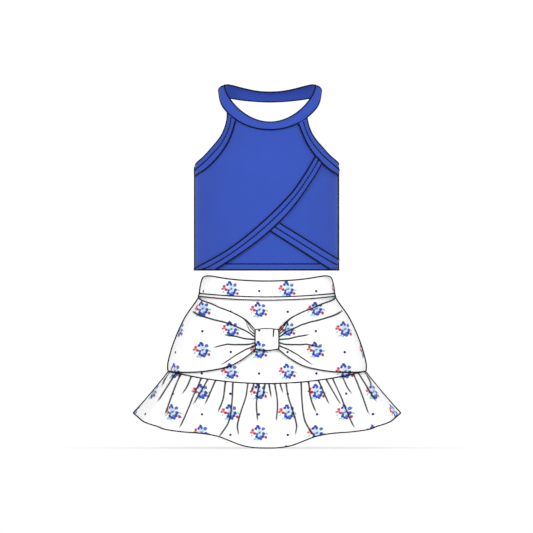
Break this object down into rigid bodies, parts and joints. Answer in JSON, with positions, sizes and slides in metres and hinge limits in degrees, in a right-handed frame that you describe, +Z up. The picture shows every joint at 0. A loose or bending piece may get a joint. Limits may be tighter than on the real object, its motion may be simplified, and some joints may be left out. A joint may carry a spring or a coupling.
{
  "type": "cheer uniform",
  "caption": "Girl's two-piece cheer uniform in its worn shape: a blue halter crop top with a crossed wrap front, and a floral white skirt with a bow and a gathered ruffle",
  "frame": {"origin": "Under the middle of the uniform, on the level of the lowest points of the ruffle's hem", "axes": "+Z up; the front faces -Y; +X is to the right as the front is faced"},
  "size_m": [0.4402, 0.3294, 0.5996],
  "materials": {
    "top_jersey": "matte",
    "top_binding": "matte",
    "top_thread": "satin",
    "floral_cotton": "matte",
    "skirt_thread": "satin",
    "elastic": "matte"
  },
  "bodies": {
    "skirt": {"skirt_bow_knot": "floral_cotton", "skirt_bow_wing_left": "floral_cotton", "skirt_bow_wing_right": "floral_cotton", "skirt_ruffle_back": "floral_cotton", "skirt_ruffle_front": "floral_cotton", "skirt_waist_elastic_back": "elastic", "skirt_waist_elastic_front": "elastic", "skirt_waist_facing_back": "floral_cotton", "skirt_waist_facing_front": "floral_cotton", "skirt_waist_stitches_lower_back": "skirt_thread", "skirt_waist_stitches_lower_front": "skirt_thread", "skirt_waist_stitches_upper_back": "skirt_thread", "skirt_waist_stitches_upper_front": "skirt_thread", "skirt_waistband_back": "floral_cotton", "skirt_waistband_front": "floral_cotton", "skirt_yoke_back": "floral_cotton", "skirt_yoke_front": "floral_cotton"},
    "top": {"top_armhole_binding_left": "top_binding", "top_armhole_binding_right": "top_binding", "top_armhole_stitches_left": "top_thread", "top_armhole_stitches_right": "top_thread", "top_back_neckline_binding": "top_binding", "top_back_panel": "top_jersey", "top_collar_front": "top_binding", "top_front_lining": "top_jersey", "top_hem_stitches": "top_thread", "top_over_wrap_band": "top_binding", "top_over_wrap_panel": "top_jersey", "top_over_wrap_stitches": "top_thread", "top_under_wrap_band": "top_binding", "top_under_wrap_panel": "top_jersey", "top_under_wrap_stitches": "top_thread"},
    "neck_strap": {"top_neck_strap": "top_binding"}
  },
  "joints": [
    {"name": "top_lift", "type": "slide", "parent": "skirt", "child": "top", "axis": [0, 0, 1], "range_m": [0, 0.25]},
    {"name": "neck_strap_fold", "type": "hinge", "parent": "top", "child": "neck_strap", "pos_m": [0.005, 0, 0.5935], "axis": [1, 0, 0], "range_deg": [-60, 75]}
  ]
}
